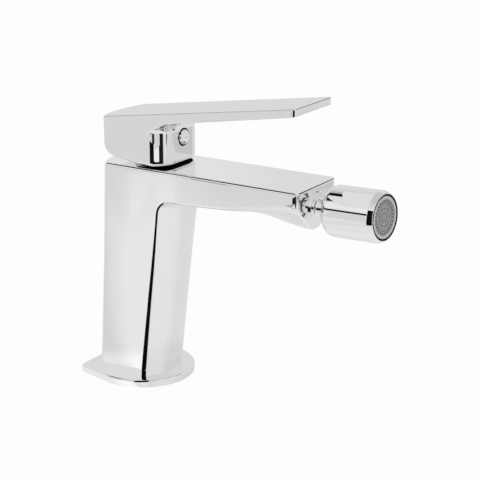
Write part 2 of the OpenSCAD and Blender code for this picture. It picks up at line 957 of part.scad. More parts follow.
module aerator_grid() {
    slot_l = 1.2;
    slot_w = 0.8;
    slot_r = grid_r - 1.6;
    groove_w = 0.5;
    groove_depth = 0.4;
    groove_step = 2.4;
    first_groove_r = 2.2;
    face_x = grid_t - 0.4;
    color(rubber)
        at_swivel()
            translate([aerator_front - grid_t, 0, 0])
                difference() {
                    x_rod([0, 0, 0], 2 * grid_r, face_x);
                    for (i = [0 : grid_slots - 1])
                        rotate([i * 360 / grid_slots, 0, 0])
                            translate([-1, -slot_w / 2, slot_r])
                                cube([grid_t + 2, slot_w, slot_l]);
                    for (r = [first_groove_r : groove_step : slot_r - 1])
                        translate([face_x - groove_depth, 0, 0])
                            swivel_tube(r + groove_w, r, 0, 1);
                }
}

module aerator_key_ring() {
    notch_w = 1.6;
    notch_depth = 0.6;
    color(black_plastic)
        at_swivel()
            difference() {
                swivel_tube(key_ring_r, aerator_r + fit_gap, key_ring_back, key_ring_front);
                for (i = [0 : key_notches - 1])
                    rotate([i * 360 / key_notches, 0, 0])
                        translate([key_ring_front - notch_depth, -notch_w / 2, aerator_r])
                            cube([notch_depth + 1, notch_w, key_ring_r]);
            }
}

mixer_body();
base_flange();
base_seal();
cartridge_nut();
cover_ring();
cartridge_housing();
cartridge_foot();
port_seals();
fixed_ceramic_disc();
cartridge_carrier();
pivot_pin();
moving_ceramic_disc();
disc_driver();
lever_handle();
cartridge_spindle();
grub_screw();
index_plug();
swivel_stem();
stem_seal();
ball_liner();
seat_ring();
ball_seal();
swivel_housing();
clamp_ring();
aerator_washer();
aerator_body();
aerator_grid();
aerator_key_ring();
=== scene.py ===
"""Looks of a single-lever bidet mixer in polished chrome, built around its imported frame."""

import math

import bpy
from mathutils import Matrix, Vector


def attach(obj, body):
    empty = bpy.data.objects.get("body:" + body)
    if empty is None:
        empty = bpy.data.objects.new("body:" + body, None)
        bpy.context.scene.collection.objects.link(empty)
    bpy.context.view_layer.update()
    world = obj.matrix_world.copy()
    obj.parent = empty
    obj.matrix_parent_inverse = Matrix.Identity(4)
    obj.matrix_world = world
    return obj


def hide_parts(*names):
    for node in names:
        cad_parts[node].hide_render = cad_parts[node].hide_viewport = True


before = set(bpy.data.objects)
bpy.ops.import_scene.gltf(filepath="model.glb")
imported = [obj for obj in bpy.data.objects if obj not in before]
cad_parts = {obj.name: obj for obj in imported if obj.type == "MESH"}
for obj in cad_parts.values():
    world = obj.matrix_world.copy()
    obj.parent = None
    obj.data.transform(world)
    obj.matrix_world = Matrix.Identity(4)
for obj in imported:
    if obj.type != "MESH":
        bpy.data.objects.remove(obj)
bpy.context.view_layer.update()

# Units: sizes below are millimetres, the scene is metres
MM = 0.001

# Body sizes
BODY_TOP = 130.6
BODY_HALF_W = 21.3
FOOT_Z = 4.5
SIDE_TAPER = math.radians(0.4)
BACK_R = 38.0
BACK_FOOT = 24.4
BACK_LEAN = math.radians(3.7)
FRONT_R_FOOT = 31.3
FRONT_R_ROOT = 40.0
FRONT_FOOT = 21.0
FRONT_LEAN = math.radians(6.1)
FRONT_BEND_HEIGHT = 104.0
FRONT_BEND_POWER = 1.3
ROOT_R = 8.0
UNDER_START_X = 38.5
UNDER_START_Z = 112.6
UNDER_RISE = math.radians(3.1)
SPOUT_END = 116.2
OUTLET_Z = 118.6
BOSS_R = 12.3
END_SIDE_Z = 121.6
SWEEP_FROM = 66.0
SWEEP_TO = 118.0
UNDER_FROM = 48.0
SIDE_BOW = 1.3
SIDE_BOW_REACH = 18.0
SIDE_BOW_FADE_Z = 70.0
SIDE_BOW_FADE = 0.85
SIDE_BOW_MIDDLE = (-3.0, 9.0)
SPOUT_ROOT = (24.0, 44.0)
SIDE_CUTS = (-24.0, 34.0)
TOP_EDGE_R = 1.6
END_CORNER_R = 3.6
END_UNDER_R = 1.2
BACK_CORNER_R = 1.8
CARTRIDGE_X = 3.0
CARTRIDGE_BORE_R = 14.05
CARTRIDGE_SEAT_Z = 96.0

# Lever sizes
LEVER_HALF_W = 19.6
LEVER_TOP_Z = 158.5
LEVER_RISE = math.tan(math.radians(8.2))
LEVER_ROOT_T = 6.7
LEVER_TIP_T = 4.4
LEVER_TIP = 113.2
TIP_CORNER_R = 1.5
LEVER_BACK = -16.24
BLOCK_FRONT = 30.0
BLOCK_CORNER_R = 12.0
BLOCK_FOOT_R = 1.8
BLOCK_BOTTOM = 131.8
ARCH_R = 7.5
ARCH_BASE = 150.2
SLAB_EDGE_R = 0.7
RELIEF_START = 12.0
RELIEF_SLOPE = math.tan(math.radians(10))
HEEL_R = 7.0
INDEX_Z = 146.2

# Base sizes
FLANGE_T = 4.5
FLANGE_R = 29.6
FLANGE_BACK = 30.0
FLANGE_BACK_W = 49.0
FLANGE_CORNER_R = 3.0
FLANGE_EDGE_R = 1.1

# Swivel sizes
STEM_SOCKET_R = 6.98
STEM_SOCKET_DEPTH = 10.0
BALL = Vector((131.0, 0.0, 118.6))
PAN = math.radians(-4.7)
TILT = math.radians(2.9)

# How finely the outlines are cut
UNDER_STEPS = 22
FRONT_STEPS = 8
BACK_STEPS = 8
ROOT_STEPS = 10
EDGE_STEPS = 6
ARCH_STEPS = 12
FLANGE_FRONT_STEPS = 64
FLANGE_CORNER_STEPS = 8

# Camera
CAMERA_PLACE = Vector((467.355, -627.145, 324.657))
CAMERA_YAW = math.radians(32.52091)
CAMERA_PITCH = math.radians(17.36594)
CAMERA_LENS = 105.0
CAMERA_SENSOR = 36.0

# Bearings of the dark lane towards the lens, with the softness of its borders, in degrees
LANE = (-86, -26, 3)

# Share of the light that the dark parts of the studio take away
DARKEST = 0.985


# Small geometry


def lerp(a, b, t):
    return a + (b - a) * t


def smoothstep(low, high, x):
    t = min(1.0, max(0.0, (x - low) / (high - low)))
    return t * t * (3 - 2 * t)


def rounded_path(corners, closed=False):
    """Points along corners of (x, z, fillet radius, steps), each fillet as an arc of that many steps."""
    path = []
    count = len(corners)
    for i, (x, z, radius, steps) in enumerate(corners):
        here = Vector((x, z))
        if radius <= 0 or (not closed and i in (0, count - 1)):
            path.append(here)
            continue
        before = (Vector(corners[i - 1][:2]) - here).normalized()
        after = (Vector(corners[(i + 1) % count][:2]) - here).normalized()
        half = before.angle(after) / 2
        reach = radius / math.tan(half)
        middle = here + (before + after).normalized() * (radius / math.sin(half))
        start = here + before * reach - middle
        turn = math.pi - 2 * half
        if start.x * before.y - start.y * before.x > 0:
            turn = -turn
        for step in range(steps + 1):
            a = turn * step / steps
            spun = Vector((start.x * math.cos(a) - start.y * math.sin(a),
                           start.x * math.sin(a) + start.y * math.cos(a)))
            path.append(middle + spun)
    return path


def inward(path, closed=False):
    """Unit normals of a path that runs anticlockwise, pointing to its inside."""
    normals = []
    last = len(path) - 1
    for i in range(len(path)):
        before = path[i - 1] if closed or i > 0 else path[i]
        after = path[(i + 1) % len(path)] if closed or i < last else path[i]
        along = after - before
        normals.append(Vector((-along.y, along.x)).normalized())
    return normals


# Mesh tools


def fresh_selection():
    if bpy.context.object and bpy.context.object.mode != "OBJECT":
        bpy.ops.object.mode_set(mode="OBJECT")
    bpy.ops.object.select_all(action="DESELECT")


def sheet(name, rows, wrapped=False):
    """A grid primitive whose points are moved to the rows of places, in millimetres."""
    fresh_selection()
    across = len(rows[0]) - 1
    along = len(rows) - 1
    bpy.ops.mesh.primitive_grid_add(x_subdivisions=across, y_subdivisions=along, size=1)
    piece = bpy.context.object
    piece.name = name
    piece.data.name = name
    for point in piece.data.vertices:
        i = round((point.co.x + 0.5) * across)
        j = round((point.co.y + 0.5) * along)
        point.co = Vector(rows[j][i]) * MM
    if wrapped:
        weld(piece)
    return piece


def weld(piece):
    bpy.context.view_layer.objects.active = piece
    piece.select_set(True)
    bpy.ops.object.mode_set(mode="EDIT")
    bpy.ops.mesh.select_all(action="SELECT")
    bpy.ops.mesh.remove_doubles(threshold=1e-6)
    bpy.ops.object.mode_set(mode="OBJECT")


def choose(piece, edges=None, faces=None):
    """Selects only the edges whose two ends, or the faces whose middle and normal, pass the given test."""
    fresh_selection()
    bpy.context.view_layer.objects.active = piece
    piece.select_set(True)
    bpy.ops.object.mode_set(mode="EDIT")
    bpy.ops.mesh.select_mode(type="EDGE" if edges else "FACE")
    bpy.ops.mesh.select_all(action="DESELECT")
    bpy.ops.object.mode_set(mode="OBJECT")
    mesh = piece.data
    if edges:
        for edge in mesh.edges:
            a, b = (mesh.vertices[v].co / MM for v in edge.vertices)
            edge.select = edges(a, b)
    if faces:
        for face in mesh.polygons:
            face.select = faces(face.center / MM, face.normal)
    bpy.ops.object.mode_set(mode="EDIT")


def cap(piece, test):
    """Closes the open loop whose edges pass the test."""
    choose(piece, edges=test)
    bpy.ops.mesh.edge_face_add()
    bpy.ops.object.mode_set(mode="OBJECT")


def outwards(piece):
    bpy.context.view_layer.objects.active = piece
    bpy.ops.object.mode_set(mode="EDIT")
    bpy.ops.mesh.select_all(action="SELECT")
    bpy.ops.mesh.normals_make_consistent(inside=False)
    bpy.ops.object.mode_set(mode="OBJECT")


def polish(piece):
    """Smooth shading that keeps flat faces flat and true corners sharp."""
    fresh_selection()
    bpy.context.view_layer.objects.active = piece
    piece.select_set(True)
    bpy.ops.object.shade_smooth_by_angle(angle=math.radians(35))
    even = piece.modifiers.new("Even normals", "WEIGHTED_NORMAL")
    even.keep_sharp = True
    even.weight = 60
    bpy.ops.object.modifier_apply(modifier=even.name)


def bore(piece, mouth, radius, depth, turn):
    """Drills a round hole down from its mouth."""
    fresh_selection()
    bpy.ops.mesh.primitive_cylinder_add(vertices=96, radius=radius * MM, depth=2 * depth * MM,
                                        location=Vector(mouth) * MM, rotation=turn)
    drill = bpy.context.object
    cut = piece.modifiers.new("Bore", "BOOLEAN")
    cut.operation = "DIFFERENCE"
    cut.solver = "EXACT"
    cut.object = drill
    fresh_selection()
    bpy.context.view_layer.objects.active = piece
    piece.select_set(True)
    bpy.ops.object.modifier_apply(modifier=cut.name)
    waste = drill.data
    bpy.data.objects.remove(drill)
    bpy.data.meshes.remove(waste)


def belongs(piece, body, slot, *nodes):
    """Attaches the piece to the body that carries it and hides the solids that it stands in for; the slot
    is not used.
    """
    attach(piece, body)
    if nodes:
        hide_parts(*nodes)


def side_rings(section, half_w, radii, levels, fillet_steps, closed):
    """Rows of a solid whose section is known at each distance from its middle plane.

    Near its two sides each point is drawn in along a quarter round of its own radius."""
    cache = {}

    def ring_at(y):
        key = round(y, 6)
        if key not in cache:
            path = section(y)
            cache[key] = (path, inward(path, closed))
        return cache[key]

    def filleted(sign, share):
        row = []
        a = math.pi / 2 * share
        for i, radius in enumerate(radii):
            y = sign * (half_w - radius * (1 - math.sin(a)))
            path, normals = ring_at(y)
            flat = path[i] + normals[i] * radius * (1 - math.cos(a))
            row.append((flat.x, y, flat.y))
        return row

    def plain(share):
        row = []
        for i, radius in enumerate(radii):
            y = share * (half_w - radius)
            flat = ring_at(y)[0][i]
            row.append((flat.x, y, flat.y))
        return row

    rows = [filleted(-1, 1 - step / fillet_steps) for step in range(fillet_steps)]
    for step in range(levels + 1):
        rows.append(plain(math.sin(math.pi / 2 * (2 * step / levels - 1))))
    rows += [filleted(1, (step + 1) / fillet_steps) for step in range(fillet_steps)]
    if closed:
        rows = [row + row[:1] for row in rows]
    return rows


# Shaders


class Value:
    """A socket of a node tree, with Python operators that add Math nodes."""

    def __init__(self, tree, socket):
        self.tree = tree
        self.socket = socket

    def node(self, kind, settings=None, out=0, **values):
        return add_node(self.tree, kind, settings, out, **values)

    def _math(self, operation, first, second):
        return self.node("ShaderNodeMath", {"operation": operation}, i0=first, i1=second)

    def __add__(self, other):
        return self._math("ADD", self, other)

    __radd__ = __add__

    def __sub__(self, other):
        return self._math("SUBTRACT", self, other)

    def __rsub__(self, other):
        return self._math("SUBTRACT", other, self)

    def __mul__(self, other):
        return self._math("MULTIPLY", self, other)

    __rmul__ = __mul__


def connect(tree, value, socket):
    if isinstance(value, Value):
        tree.links.new(value.socket, socket)
    else:
        socket.default_value = value


def add_node(tree, kind, settings=None, out=0, **values):
    """Adds a node: its settings first, then its sockets by name, or by number as i0, i1 and so on.

    The setting named stops is a list of (place, grey tone) for a colour ramp."""
    made = tree.nodes.new(kind)
    for name, setting in (settings or {}).items():
        if name == "stops":
            ramp = made.color_ramp.elements
            while len(ramp) < len(setting):
                ramp.new(1.0)
            for element, (place, tone) in zip(ramp, setting):
                element.position = place
                element.color = (tone, tone, tone, 1.0)
        else:
            setattr(made, name, setting)
    for name, value in values.items():
        key = name.replace("_", " ")
        socket = made.inputs[int(name[1:])] if name[0] == "i" and name[1:].isdigit() else made.inputs[key]
        connect(tree, value, socket)
    return Value(tree, made.outputs[out])


def finish(name, **constants):
    """A new Principled material with its constants set, its tree, its shader and its object place."""
    material = bpy.data.materials.new(name)
    material.use_nodes = True
    tree = material.node_tree
    shader = tree.nodes["Principled BSDF"]
    for key, value in constants.items():
        shader.inputs[key.replace("_", " ")].default_value = value
    place = add_node(tree, "ShaderNodeTexCoord", out=3)
    return material, tree, shader, place


def noise(tree, place, scale, detail=3.0, rough=0.5):
    return add_node(tree, "ShaderNodeTexNoise", Vector=place, Scale=scale, Detail=detail, Roughness=rough)


def between(tree, low, high, share):
    """A colour that runs from low to high with the share."""
    mixed = add_node(tree, "ShaderNodeMix", {"data_type": "RGBA"}, out=2, Factor=share)
    made = mixed.socket.node
    made.inputs[6].default_value = (*low, 1.0)
    made.inputs[7].default_value = (*high, 1.0)
    return mixed


def plated(name, low, high, rough_low, rough_high):
    """Polished plate: a mirror with the faintest cloud in its tone and in its polish."""
    material, tree, shader, place = finish(name, Metallic=1.0)
    cloud = noise(tree, place, 60.0)
    wipe = noise(tree, place, 400.0, 2.0)
    connect(tree, between(tree, low, high, cloud), shader.inputs["Base Color"])
    connect(tree, rough_low + (rough_high - rough_low) * wipe, shader.inputs["Roughness"])
    return material


def moulded(name, low, high, rough_low, rough_high, grain=1500.0, bump=0.04, gloss=0.5):
    """Moulded plastic or rubber with a fine grain."""
    material, tree, shader, place = finish(name, Specular_IOR_Level=gloss)
    cloud = noise(tree, place, 250.0)
    fine = noise(tree, place, grain, 2.0)
    connect(tree, between(tree, low, high, cloud), shader.inputs["Base Color"])
    connect(tree, rough_low + (rough_high - rough_low) * fine, shader.inputs["Roughness"])
    raised = add_node(tree, "ShaderNodeBump", Strength=bump, Distance=0.0002, Height=fine)
    connect(tree, raised, shader.inputs["Normal"])
    return material


def turned_metal(name, low, high, rough):
    """Machined metal with fine tool marks."""
    material, tree, shader, place = finish(name, Metallic=1.0)
    marks = noise(tree, place, 900.0, 4.0, 0.7)
    connect(tree, between(tree, low, high, marks), shader.inputs["Base Color"])
    connect(tree, rough + 0.12 * marks, shader.inputs["Roughness"])
    return material


chrome = plated("chrome_plate", (0.86, 0.865, 0.875), (0.885, 0.89, 0.9), 0.015, 0.035)
# Black for the painted shade on the lever's underside and round the index button, and for the studio's dark
# flags
shade_and_flag_black = moulded("painted_shade_and_flag_black", (0.004, 0.004, 0.005), (0.008, 0.008, 0.009), 0.6, 0.8, gloss=0.05)
black_plastic = moulded("black_plastic", (0.006, 0.006, 0.007), (0.011, 0.011, 0.012), 0.35, 0.5, gloss=0.2)
grey_plastic = moulded("aerator_grey", (0.60, 0.605, 0.62), (0.70, 0.705, 0.72), 0.4, 0.55)
dark_plastic = moulded("aerator_dark", (0.33, 0.335, 0.345), (0.42, 0.425, 0.435), 0.4, 0.6)
white_plastic = moulded("white_plastic", (0.74, 0.74, 0.71), (0.8, 0.8, 0.77), 0.35, 0.5)
rubber = moulded("black_rubber", (0.018, 0.018, 0.018), (0.03, 0.03, 0.03), 0.6, 0.8, bump=0.1)
ceramic = moulded("lapped_ceramic", (0.84, 0.83, 0.8), (0.9, 0.89, 0.87), 0.12, 0.2, bump=0.01)
brass = turned_metal("machined_brass", (0.70, 0.52, 0.24), (0.80, 0.62, 0.32), 0.22)
nickelled_brass = turned_metal("nickelled_brass", (0.56, 0.54, 0.50), (0.66, 0.64, 0.60), 0.2)
steel = turned_metal("turned_steel", (0.50, 0.50, 0.51), (0.62, 0.62, 0.63), 0.25)

NODE_FINISH = {
    "base_seal": rubber,
    "port_seals": rubber,
    "stem_seal": rubber,
    "ball_seal": rubber,
    "aerator_washer": rubber,
    "cartridge_nut": nickelled_brass,
    "clamp_ring": brass,
    "cartridge_spindle": nickelled_brass,
    "cover_ring": chrome,
    "aerator_key_ring": black_plastic,
    "cartridge_housing": white_plastic,
    "cartridge_foot": white_plastic,
    "cartridge_carrier": white_plastic,
    "disc_driver": white_plastic,
    "ball_liner": white_plastic,
    "seat_ring": white_plastic,
    "fixed_ceramic_disc": ceramic,
    "moving_ceramic_disc": ceramic,
    "pivot_pin": steel,
    "grub_screw": steel,
    "aerator_body": grey_plastic,
    "aerator_grid": dark_plastic,
}
for node_name, surface in NODE_FINISH.items():
    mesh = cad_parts[node_name].data
    mesh.materials.clear()
    mesh.materials.append(surface)


def coat(piece, *materials):
    piece.data.materials.clear()
    for material in materials:
        piece.data.materials.append(material)


# Body: column and spout in one casting


def spout_under(x):
    return UNDER_START_Z + (x - UNDER_START_X) * math.tan(UNDER_RISE)


def end_under(y):
    """Underside of the end face: a round keel whose tangents run up to the foot of the sides."""
    side = Vector((BODY_HALF_W, END_SIDE_Z - OUTLET_Z))
    a = math.atan2(side.y, side.x) - math.acos(BOSS_R / side.length)
    touch = Vector((math.cos(a), math.sin(a))) * BOSS_R
    y = abs(y)
    if y < touch.x:
        return OUTLET_Z - math.sqrt(BOSS_R ** 2 - y * y)
    return OUTLET_Z + lerp(touch.y, side.y, (y - touch.x) / (side.x - touch.x))


def keel(x, y):
    drop = end_under(y) - spout_under(SPOUT_END)
    return spout_under(x) + smoothstep(SWEEP_FROM, SWEEP_TO, x) * drop


def body_section(y):
    """Outline of the casting at a distance from the middle plane: front, underside, end, top and back."""
    back_bow = BACK_R - math.sqrt(BACK_R ** 2 - y * y)

    def front_x(z):
        share = max(0.0, (z - FOOT_Z) / FRONT_BEND_HEIGHT) ** FRONT_BEND_POWER
        bend = lerp(FRONT_R_FOOT, FRONT_R_ROOT, share)
        bow = bend - math.sqrt(bend ** 2 - y * y)
        return FRONT_FOOT - bow + (z - FOOT_Z) * math.tan(FRONT_LEAN)

    def back_x(z):
        return back_bow - BACK_FOOT + (z - FOOT_Z) * math.tan(BACK_LEAN)

    root_z = UNDER_START_Z
    for _ in range(4):
        root_z = spout_under(front_x(root_z))
    root = (front_x(root_z), root_z)
    corners = [(front_x(z), z, 0, 0) for z in
               (lerp(FOOT_Z, root_z - 2 * ROOT_R, i / FRONT_STEPS) for i in range(FRONT_STEPS + 1))]
    corners.append((*root, ROOT_R, ROOT_STEPS))
    for i in range(UNDER_STEPS):
        x = lerp(UNDER_FROM, SPOUT_END - 4, i / (UNDER_STEPS - 1))
        corners.append((x, keel(x, y), 0, 0))
    corners.append((SPOUT_END, keel(SPOUT_END, y), END_UNDER_R, EDGE_STEPS))
    corners.append((SPOUT_END, BODY_TOP, TOP_EDGE_R, EDGE_STEPS))
    corners += [(x, BODY_TOP, 0, 0) for x in (80.0, 40.0, 10.0)]
    corners.append((back_x(BODY_TOP), BODY_TOP, TOP_EDGE_R, EDGE_STEPS))
    corners += [(back_x(z), z, 0, 0) for z in
                (lerp(BODY_TOP - 5, FOOT_Z, i / BACK_STEPS) for i in range(BACK_STEPS + 1))]
    return rounded_path(corners)


def body_radii():
    """Fillet towards the two sides, point by point along the section."""
    runs = [
        (2.1, 1.0, FRONT_STEPS),
        (1.0, 1.8, ROOT_STEPS),
        (1.8, 2.6, UNDER_STEPS - 1),
        (END_CORNER_R, END_CORNER_R, EDGE_STEPS),
        (END_CORNER_R, TOP_EDGE_R, EDGE_STEPS),
        (TOP_EDGE_R, TOP_EDGE_R, 2),
        (TOP_EDGE_R, BACK_CORNER_R, EDGE_STEPS),
        (BACK_CORNER_R, BACK_CORNER_R, BACK_STEPS),
    ]
    return [lerp(a, b, i / steps) for a, b, steps in runs for i in range(steps + 1)]


def bow_sides(piece):
    """Draws the column's sides in towards its corners at the foot, so that they swell a little."""
    for point in piece.data.vertices:
        x, y, z = point.co / MM
        taper = 1 - (BODY_TOP - z) * math.tan(SIDE_TAPER) / BODY_HALF_W
        low = 1 - smoothstep(SIDE_BOW_FADE_Z, BODY_TOP - 1, z) * SIDE_BOW_FADE
        low *= 1 - smoothstep(*SPOUT_ROOT, x)
        middle = lerp(*SIDE_BOW_MIDDLE, (z - FOOT_Z) / (BODY_TOP - FOOT_Z))
        away = min(1.0, abs(x - middle) / SIDE_BOW_REACH)
        bow = SIDE_BOW * low * away * away * smoothstep(10, BODY_HALF_W, abs(y))
        point.co.y = (y * taper - math.copysign(bow, y)) * MM


def side_cuts(piece):
    """Cuts each flat side along the column, so that it has points to bow."""
    def on_side(centre, normal):
        return abs(normal.y) > 0.99 and abs(centre.y) > BODY_HALF_W - 0.1

    lean = (FRONT_LEAN + BACK_LEAN) / 2
    upright = (math.cos(lean), 0, -math.sin(lean))
    planes = [((lerp(*SIDE_CUTS, step / 14), 0, FOOT_Z), upright) for step in range(1, 14)]
    planes += [((0, 0, lerp(SIDE_BOW_FADE_Z, BODY_TOP, step / 6)), (0, 0, 1)) for step in range(1, 6)]
    for place, normal in planes:
        choose(piece, faces=on_side)
        bpy.ops.mesh.bisect(plane_co=Vector(place) * MM, plane_no=normal, use_fill=False)
        bpy.ops.object.mode_set(mode="OBJECT")


def make_body():
    rows = side_rings(body_section, BODY_HALF_W, body_radii(), levels=44, fillet_steps=6, closed=False)
    for row in rows:
        row[0] = (*row[0][:2], FOOT_Z)
        row[-1] = (*row[-1][:2], FOOT_Z)
    piece = sheet("body_casting", rows)
    for sign in (-1, 1):
        cap(piece, lambda a, b: min(sign * a.y, sign * b.y) > BODY_HALF_W - 1e-3)
    cap(piece, lambda a, b: max(a.z, b.z) < FOOT_Z + 1e-3)
    outwards(piece)
    side_cuts(piece)
    bow_sides(piece)
    bore(piece, (CARTRIDGE_X, 0, BODY_TOP), CARTRIDGE_BORE_R, BODY_TOP - CARTRIDGE_SEAT_Z, (0, 0, 0))
    bore(piece, (SPOUT_END, 0, OUTLET_Z), STEM_SOCKET_R, STEM_SOCKET_DEPTH, (0, math.pi / 2, 0))
    polish(piece)
    coat(piece, chrome)
    belongs(piece, "mixer", "chrome", "mixer_body")


# Lever: slab, block and arch, with painted shade on the block's underside


def lever_top(x):
    return LEVER_TOP_Z + LEVER_RISE * x


def lever_under(x):
    thin = (LEVER_ROOT_T - LEVER_TIP_T) / LEVER_TIP
    return LEVER_TOP_Z - LEVER_ROOT_T + (LEVER_RISE + thin) * x


def block_front(y, out):
    """Front of the block at a distance from the middle plane, offset outwards."""
    past = abs(y) - (LEVER_HALF_W - BLOCK_CORNER_R)
    if past <= 0:
        return BLOCK_FRONT + out
    corner = BLOCK_CORNER_R + out
    return BLOCK_FRONT - BLOCK_CORNER_R + math.sqrt(max(0.0, corner ** 2 - past ** 2))


def lever_section(y):
    """Outline of the lever at a distance from the middle plane: back, block, arch, slab and tip."""
    back = LEVER_BACK + BACK_R - math.sqrt(BACK_R ** 2 - y * y)
    past = abs(y) - (LEVER_HALF_W - TIP_CORNER_R)
    tip = LEVER_TIP
    if past > 0:
        tip -= TIP_CORNER_R - math.sqrt(max(0.0, TIP_CORNER_R ** 2 - past ** 2))
    front = block_front(y, 0)
    heel_z = BLOCK_BOTTOM + (RELIEF_START - back) * RELIEF_SLOPE
    corners = [
        (back, lever_top(back), 0.8, 4),
        (back, heel_z, HEEL_R, 10),
        (RELIEF_START, BLOCK_BOTTOM, 6.0, 4),
        (front, BLOCK_BOTTOM, BLOCK_FOOT_R, EDGE_STEPS),
    ]
    for step in range(ARCH_STEPS + 1):
        a = math.pi / 2 * step / ARCH_STEPS
        x = block_front(y, ARCH_R * (1 - math.cos(a)))
        corners.append((x, lerp(ARCH_BASE, lever_under(x), math.sin(a)), 0, 0))
    for x in (50.0, 70.0, 90.0):
        corners.append((x, lever_under(x), 0, 0))
    corners.append((tip, lever_under(tip), 0.6, 4))
    corners.append((tip, lever_top(tip), 0.6, 4))
    for x in (90.0, 70.0, 50.0, 25.0, 5.0):
        corners.append((x, lever_top(x), 0, 0))
    return rounded_path(corners, closed=True)


def lever_radii():
    """Fillet towards the two sides: back, heel, relief, block's foot, arch, then the slab and its tip."""
    radii = [SLAB_EDGE_R] * 5 + [0.8] * 11 + [BLOCK_FOOT_R] * 5
    radii += [lerp(BLOCK_FOOT_R, 0.02, i / EDGE_STEPS) for i in range(EDGE_STEPS + 1)]
    radii += [lerp(0.02, SLAB_EDGE_R, (i / ARCH_STEPS) ** 2) for i in range(ARCH_STEPS + 1)]
    return radii + [SLAB_EDGE_R] * 18


def make_lever():
    rows = side_rings(lever_section, LEVER_HALF_W, lever_radii(), levels=52, fillet_steps=5, closed=True)
    piece = sheet("lever_slab", rows, wrapped=True)
    for sign in (-1, 1):
        cap(piece, lambda a, b: min(sign * a.y, sign * b.y) > LEVER_HALF_W - 1e-3)
    outwards(piece)
    polish(piece)
    coat(piece, chrome, shade_and_flag_black)
    # Painted shade: the block's flat underside is black, for the shade in the thin gap above the body
    for face in piece.data.polygons:
        if face.normal.z < -0.98 and face.center.z < (BLOCK_BOTTOM + 0.2) * MM:
            face.material_index = 1
    belongs(piece, "lever", "chrome", "lever_handle")


# Base flange


def flange_outline(inset):
    """Round front, tangent sides and straight back with rounded corners, drawn in by an inset."""
    corner = Vector((FLANGE_CORNER_R - FLANGE_BACK, FLANGE_BACK_W / 2 - FLANGE_CORNER_R))
    lean = math.atan2(corner.y, corner.x)
    tangent = lean - math.acos((FLANGE_R - FLANGE_CORNER_R) / corner.length)
    mirrored = Vector((corner.x, -corner.y))
    arcs = [
        (Vector((0, 0)), FLANGE_R, -tangent, tangent, FLANGE_FRONT_STEPS),
        (corner, FLANGE_CORNER_R, tangent, math.pi, FLANGE_CORNER_STEPS),
        (mirrored, FLANGE_CORNER_R, math.pi, 2 * math.pi - tangent, FLANGE_CORNER_STEPS),
    ]
    outline = []
    for middle, radius, start, stop, steps in arcs:
        for i in range(steps + 1):
            a = lerp(start, stop, i / steps)
            outline.append(middle + Vector((math.cos(a), math.sin(a))) * (radius - inset))
    return outline


def make_flange():
    levels = [(0.4, 0.0), (0.1, 0.12), (0.0, 0.5), (0.0, FLANGE_T - FLANGE_EDGE_R)]
    for step in range(1, EDGE_STEPS + 1):
        a = math.pi / 2 * step / EDGE_STEPS
        levels.append((FLANGE_EDGE_R * (1 - math.cos(a)), FLANGE_T - FLANGE_EDGE_R * (1 - math.sin(a))))
    rows = []
    for inset, z in levels:
        ring = [(p.x, p.y, z) for p in flange_outline(inset)]
        rows.append(ring + ring[:1])
    piece = sheet("flange_plate", rows, wrapped=True)
    cap(piece, lambda a, b: min(a.z, b.z) > FLANGE_T - 1e-4)
    cap(piece, lambda a, b: max(a.z, b.z) < 1e-4)
    outwards(piece)
    polish(piece)
    coat(piece, chrome)
    belongs(piece, "mixer", "chrome", "base_flange")


# Turned pieces


def turned(name, profile, place, around):
    """A solid turned from a closed profile of (along, radius) about the axis of the given placement."""
    rows = []
    for along, radius in profile + profile[:1]:
        row = []
        for i in range(around + 1):
            a = 2 * math.pi * i / around
            row.append(place @ Vector((along, radius * math.cos(a), radius * math.sin(a))))
        rows.append(row)
    piece = sheet(name, rows, wrapped=True)
    outwards(piece)
    polish(piece)
    return piece


def along_x(x, z):
    return Matrix.Translation((x, 0, z))


swivel_place = Matrix.Translation(BALL) @ Matrix.Rotation(PAN, 4, "Z") @ Matrix.Rotation(-TILT, 4, "Y")


def make_stem():
    ball_r, neck_r, bore_r, thread_r = 8.0, 4.3, 2.75, 6.95
    collar_r, collar_t = 8.8, 1.2
    ball_x = BALL.x - SPOUT_END
    join = math.sqrt(ball_r ** 2 - neck_r ** 2)
    corners = [
        (-9.5, bore_r, 0, 0),
        (-9.5, thread_r, 0.4, 2),
        (0.0, thread_r, 0, 0),
        (0.0, collar_r, 0, 0),
        (collar_t, collar_r, 0.5, 5),
        (collar_t, neck_r, 1.0, 5),
        (ball_x - join, neck_r, 0, 0),
    ]
    profile = [tuple(p) for p in rounded_path(corners)]
    start = math.acos(-join / ball_r)
    stop = math.acos(math.sqrt(ball_r ** 2 - bore_r ** 2) / ball_r)
    for i in range(1, 25):
        a = lerp(start, stop, i / 24)
        profile.append((ball_x + ball_r * math.cos(a), ball_r * math.sin(a)))
    piece = turned("outlet_stem", profile, along_x(SPOUT_END, OUTLET_Z), 96)
    coat(piece, chrome)
    belongs(piece, "mixer", "chrome", "swivel_stem")


